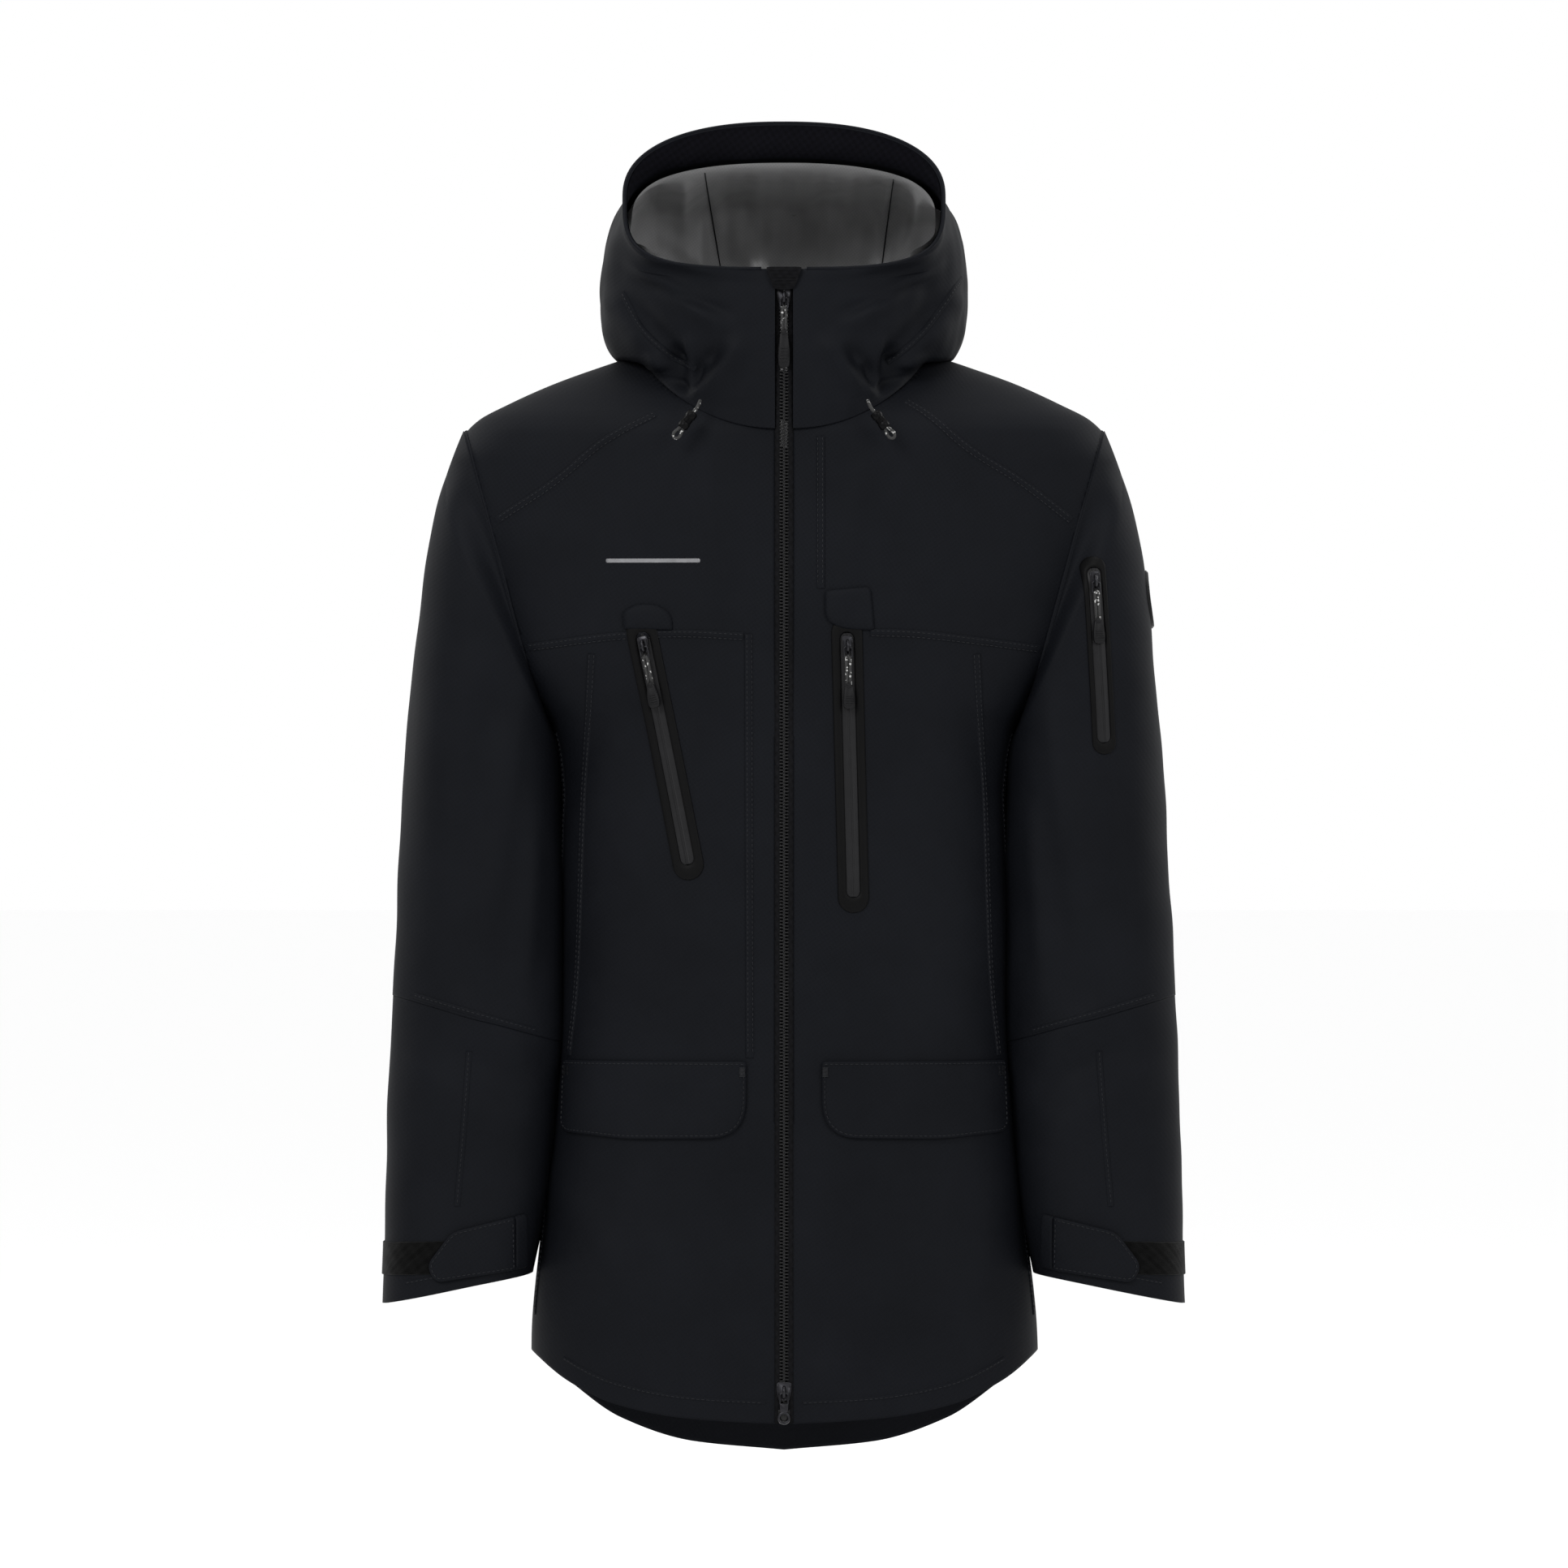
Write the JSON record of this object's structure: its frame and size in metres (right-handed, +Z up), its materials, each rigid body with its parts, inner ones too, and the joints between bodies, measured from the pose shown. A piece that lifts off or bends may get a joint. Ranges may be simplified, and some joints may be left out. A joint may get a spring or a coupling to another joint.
{
  "type": "ski jacket",
  "caption": "Long hooded insulated ski jacket with a two-way front zip, welded chest and sleeve pocket zips, flap pockets and adjustable cuffs.",
  "frame": {"origin": "the hang loop on the centre line of the back neck seam", "axes": "+Z up along the wearer's back, -Y out of the jacket's front, +X to the wearer's left"},
  "size_m": [0.6134, 0.2923, 1.0159],
  "materials": {
    "shell_fabric": "matte waterproof twill-faced shell, near black with a blue cast",
    "facing_fabric": "matte plain-weave facing",
    "lining_satin": "grey satin lining",
    "pocket_lining": "knit pocket bag",
    "zip_twill": "black woven tape",
    "zip_plastic": "moulded acetal teeth",
    "zip_coated": "polyurethane-coated zip tape",
    "weld_film": "heat-bonded film",
    "slider_metal": "gunmetal lacquer",
    "pull_rubber": "moulded rubber",
    "lock_plastic": "moulded nylon",
    "loop_pile": "loop pile"
  },
  "bodies": {
    "torso": {"back_panel": "shell_fabric", "back_yoke": "shell_fabric", "body_lining": "lining_satin", "chest_pocket_bag_left": "pocket_lining", "chest_pocket_bag_right": "pocket_lining", "chest_yoke_left": "shell_fabric", "chest_yoke_right": "shell_fabric", "chest_zip_garage": "shell_fabric", "chest_zip_left_frame": "weld_film", "chest_zip_left_tape": "zip_coated", "chest_zip_right_frame": "weld_film", "chest_zip_right_tape": "zip_coated", "chin_guard": "shell_fabric", "collar_left": "shell_fabric", "collar_right": "shell_fabric", "front_panel_left": "shell_fabric", "front_panel_right": "shell_fabric", "hand_pocket_bag_left": "pocket_lining", "hand_pocket_bag_right": "pocket_lining", "hang_loop": "zip_twill", "shoulder_yoke_left": "shell_fabric", "shoulder_yoke_right": "shell_fabric", "side_panel_left": "shell_fabric", "side_panel_right": "shell_fabric", "storm_flap": "shell_fabric", "zip_retainer_box": "zip_plastic", "zip_tape_left": "zip_twill", "zip_tape_right": "zip_twill", "zip_teeth_left": "zip_plastic", "zip_teeth_right": "zip_plastic"},
    "hood": {"hood_brim": "facing_fabric", "hood_crown": "shell_fabric", "hood_side_right": "shell_fabric", "hood_side_left": "shell_fabric", "hood_lining": "lining_satin"},
    "sleeve_right": {"sleeve_right": "shell_fabric"},
    "forearm_right": {"forearm_right": "shell_fabric", "cuff_loop_strip_right": "loop_pile"},
    "cuff_tab_right": {"cuff_tab_right": "shell_fabric"},
    "pocket_flap_right": {"hand_pocket_flap_right": "shell_fabric"},
    "cord_lock_right": {"cord_lock_right": "lock_plastic"},
    "sleeve_left": {"sleeve_left": "shell_fabric", "sleeve_zip_frame": "weld_film", "sleeve_zip_tape": "zip_coated", "sleeve_badge": "pull_rubber"},
    "forearm_left": {"forearm_left": "shell_fabric", "cuff_loop_strip_left": "loop_pile"},
    "cuff_tab_left": {"cuff_tab_left": "shell_fabric"},
    "pocket_flap_left": {"hand_pocket_flap_left": "shell_fabric"},
    "cord_lock_left": {"cord_lock_left": "lock_plastic"},
    "main_upper_slider": {"main_upper_slider": "slider_metal"},
    "main_upper_pull": {"main_upper_pull": "pull_rubber"},
    "main_lower_slider": {"main_lower_slider": "slider_metal"},
    "main_lower_pull": {"main_lower_pull": "slider_metal"},
    "chest_zip_right_slider": {"chest_zip_right_slider": "slider_metal"},
    "chest_zip_right_pull": {"chest_zip_right_pull": "pull_rubber"},
    "chest_zip_left_slider": {"chest_zip_left_slider": "slider_metal"},
    "chest_zip_left_pull": {"chest_zip_left_pull": "pull_rubber"},
    "sleeve_zip_slider": {"sleeve_zip_slider": "slider_metal"},
    "sleeve_zip_pull": {"sleeve_zip_pull": "pull_rubber"}
  },
  "joints": [
    {"name": "hood_fold", "type": "hinge", "parent": "torso", "child": "hood", "pos_m": [0, 0.058, 0.03], "axis": [-1, 0, 0], "range_deg": [0, 45]},
    {"name": "arm_raise_right", "type": "hinge", "parent": "torso", "child": "sleeve_right", "pos_m": [-0.2505, -0.08, -0.0215], "axis": [0, 1, 0], "range_deg": [0, 45]},
    {"name": "elbow_bend_right", "type": "hinge", "parent": "sleeve_right", "child": "forearm_right", "pos_m": [-0.24, -0.164, -0.486], "axis": [-1, 0, 0], "range_deg": [0, 60]},
    {"name": "cuff_tab_open_right", "type": "hinge", "parent": "forearm_right", "child": "cuff_tab_right", "pos_m": [-0.2055, -0.1575, -0.663], "axis": [0, 0, 1], "range_deg": [0, 70]},
    {"name": "pocket_flap_lift_right", "type": "hinge", "parent": "torso", "child": "pocket_flap_right", "pos_m": [-0.09, -0.2045, -0.519], "axis": [-1, 0, 0], "range_deg": [0, 80]},
    {"name": "cord_lock_slide_right", "type": "slide", "parent": "torso", "child": "cord_lock_right", "axis": [-0.5993, -0.0499, -0.799], "range_m": [0, 0.01]},
    {"name": "arm_raise_left", "type": "hinge", "parent": "torso", "child": "sleeve_left", "pos_m": [0.2505, -0.08, -0.0215], "axis": [0, -1, 0], "range_deg": [0, 45]},
    {"name": "elbow_bend_left", "type": "hinge", "parent": "sleeve_left", "child": "forearm_left", "pos_m": [0.24, -0.164, -0.486], "axis": [-1, 0, 0], "range_deg": [0, 60]},
    {"name": "cuff_tab_open_left", "type": "hinge", "parent": "forearm_left", "child": "cuff_tab_left", "pos_m": [0.2055, -0.1575, -0.663], "axis": [0, 0, -1], "range_deg": [0, 70]},
    {"name": "pocket_flap_lift_left", "type": "hinge", "parent": "torso", "child": "pocket_flap_left", "pos_m": [0.09, -0.2045, -0.519], "axis": [-1, 0, 0], "range_deg": [0, 80]},
    {"name": "cord_lock_slide_left", "type": "slide", "parent": "torso", "child": "cord_lock_left", "axis": [0.5993, -0.0499, -0.799], "range_m": [0, 0.01]},
    {"name": "main_upper_slide", "type": "slide", "parent": "torso", "child": "main_upper_slider", "axis": [0, -0.045, -0.999], "range_m": [0, 0.5]},
    {"name": "main_upper_pull_swing", "type": "hinge", "parent": "main_upper_slider", "child": "main_upper_pull", "pos_m": [0, -0.17781, 0.0637], "axis": [-1, 0, 0], "range_deg": [0, 80]},
    {"name": "main_lower_slide", "type": "slide", "parent": "torso", "child": "main_lower_slider", "axis": [0, 0.045, 0.999], "range_m": [0, 0.2]},
    {"name": "main_lower_pull_swing", "type": "hinge", "parent": "main_lower_slider", "child": "main_lower_pull", "pos_m": [0, -0.21539, -0.7713], "axis": [-1, 0, 0], "range_deg": [0, 80]},
    {"name": "chest_zip_right_slide", "type": "slide", "parent": "torso", "child": "chest_zip_right_slider", "axis": [0.1964, -0.051, -0.9792], "range_m": [0, 0.16]},
    {"name": "chest_zip_right_pull_swing", "type": "hinge", "parent": "chest_zip_right_slider", "child": "chest_zip_right_pull", "pos_m": [-0.10731, -0.18375, -0.20305], "axis": [-0.951, 0.2332, -0.2029], "range_deg": [0, 80]},
    {"name": "chest_zip_left_slide", "type": "slide", "parent": "torso", "child": "chest_zip_left_slider", "axis": [0.0247, -0.0385, -0.999], "range_m": [0, 0.182]},
    {"name": "chest_zip_left_pull_swing", "type": "hinge", "parent": "chest_zip_left_slider", "child": "chest_zip_left_pull", "pos_m": [0.04867, -0.18901, -0.20311], "axis": [-0.9956, -0.091, -0.0211], "range_deg": [0, 80]},
    {"name": "sleeve_zip_slide", "type": "slide", "parent": "sleeve_left", "child": "sleeve_zip_slider", "axis": [0.0596, -0.0198, -0.998], "range_m": [0, 0.115]},
    {"name": "sleeve_zip_pull_swing", "type": "hinge", "parent": "sleeve_zip_slider", "child": "sleeve_zip_pull", "pos_m": [0.23834, -0.16107, -0.15315], "axis": [-0.9862, -0.1558, -0.0558], "range_deg": [0, 80]}
  ]
}
